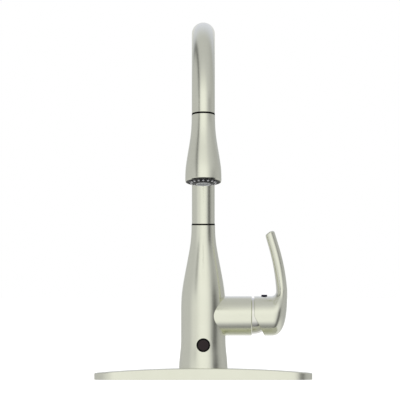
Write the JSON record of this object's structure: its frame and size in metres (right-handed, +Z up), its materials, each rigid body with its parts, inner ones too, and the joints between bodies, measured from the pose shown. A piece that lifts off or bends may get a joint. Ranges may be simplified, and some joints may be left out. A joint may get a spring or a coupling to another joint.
{
  "type": "touchless kitchen faucet",
  "caption": "Single-hole pull-down kitchen faucet with a high curved spout, a side lever, a hands-free sensor eye on its body and an oblong deck plate.",
  "frame": {"origin": "centre of the deck plate's underside, on the counter", "axes": "+Z up; -Y towards the user, where the spout reaches over the sink; +X towards the side of the lever handle"},
  "size_m": [0.2576, 0.2708, 0.4778],
  "materials": {
    "brushed_nickel": "satin brushed nickel, warm grey",
    "polished_nickel": "polished nickel",
    "black_plastic": "fine matte, moulded",
    "face_plastic": "satin black, moulded",
    "grey_plastic": "plain moulded",
    "black_rubber": "matte",
    "grey_silicone": "soft matte silicone",
    "brass": "machined",
    "steel": "machined",
    "white_ceramic": "lapped ceramic",
    "dark_glass": "dark infrared window",
    "circuit_board": "lacquered board",
    "lamp_lens": "clear resin",
    "hose_cover": "braided nylon cover",
    "cold_blue": "moulded",
    "hot_red": "moulded"
  },
  "bodies": {
    "base": {"deck_plate": "brushed_nickel", "plate_tray": "black_plastic", "plate_gasket": "black_rubber", "body_shell": "brushed_nickel", "body_gasket": "black_rubber", "mounting_shank": "brass", "valve_body": "brass", "port_seals": "black_rubber", "cartridge_base": "grey_plastic", "cartridge_housing": "grey_plastic", "fixed_disc": "white_ceramic", "cartridge_nut": "brass", "bonnet": "polished_nickel", "sensor_bezel": "black_plastic", "sensor_window": "dark_glass", "sensor_seal": "black_rubber", "sensor_nut": "brass", "sensor_board": "circuit_board", "sensor_leds": "lamp_lens", "sensor_cap": "black_plastic", "swivel_bush": "grey_plastic", "glide_ring": "black_plastic", "catch_screw": "steel", "lower_hose": "hose_cover"},
    "carrier": {"cartridge_rotor": "grey_plastic", "stem_pin": "steel"},
    "handle": {"handle_lever": "brushed_nickel", "cartridge_stem": "steel", "handle_screw": "steel", "indicator_cold": "cold_blue", "indicator_hot": "hot_red"},
    "disc": {"moving_disc": "white_ceramic", "disc_carrier": "grey_plastic"},
    "spout": {"spout_tube": "brushed_nickel", "spout_spigot": "brass", "spout_seals": "black_rubber", "dock_sleeve": "black_plastic", "spray_hose": "hose_cover"},
    "head": {"spray_shell": "brushed_nickel", "hose_nut": "brass", "hose_ferrule": "steel", "head_core": "grey_plastic", "check_valve": "grey_plastic", "face_plate": "face_plastic", "nozzle_mat": "grey_silicone", "aerator_housing": "grey_plastic", "aerator_screen": "grey_plastic", "rocker_pin": "steel"},
    "rocker": {"mode_rocker": "black_plastic"},
    "spool": {"diverter_spool": "grey_plastic"}
  },
  "joints": [
    {"name": "spout_swivel", "type": "hinge", "parent": "base", "child": "spout", "pos_m": [0, 0, 0.1824], "axis": [0, 0, 1], "range_deg": [-180, 180]},
    {"name": "handle_turn", "type": "hinge", "parent": "base", "child": "carrier", "pos_m": [0.0592, 0, 0.075], "axis": [1, 0, 0], "range_deg": [-50, 50]},
    {"name": "handle_lift", "type": "hinge", "parent": "carrier", "child": "handle", "pos_m": [0.0592, 0, 0.075], "axis": [0, 1, 0], "range_deg": [0, 25]},
    {"name": "disc_slide", "type": "slide", "parent": "carrier", "child": "disc", "axis": [0, 0, 1], "range_m": [0, 0.00456]},
    {"name": "head_pull", "type": "slide", "parent": "spout", "child": "head", "axis": [0, -0.2198, -0.9755], "range_m": [0, 0.2], "stiffness_N_per_m": 10, "springref_m": -0.6, "deforming": ["spray_hose"]},
    {"name": "rocker_tilt", "type": "hinge", "parent": "head", "child": "rocker", "pos_m": [0, -0.19613, 0.26714], "axis": [1, 0, 0], "range_deg": [0, 18]},
    {"name": "spool_slide", "type": "slide", "parent": "head", "child": "spool", "axis": [0, -0.2198, -0.9755], "range_m": [0, 0.00246]}
  ],
  "couplings": [
    {"joint": "disc_slide", "follows": "handle_lift", "m_per_rad": 0.010461},
    {"joint": "spool_slide", "follows": "rocker_tilt", "m_per_rad": 0.0078192}
  ]
}
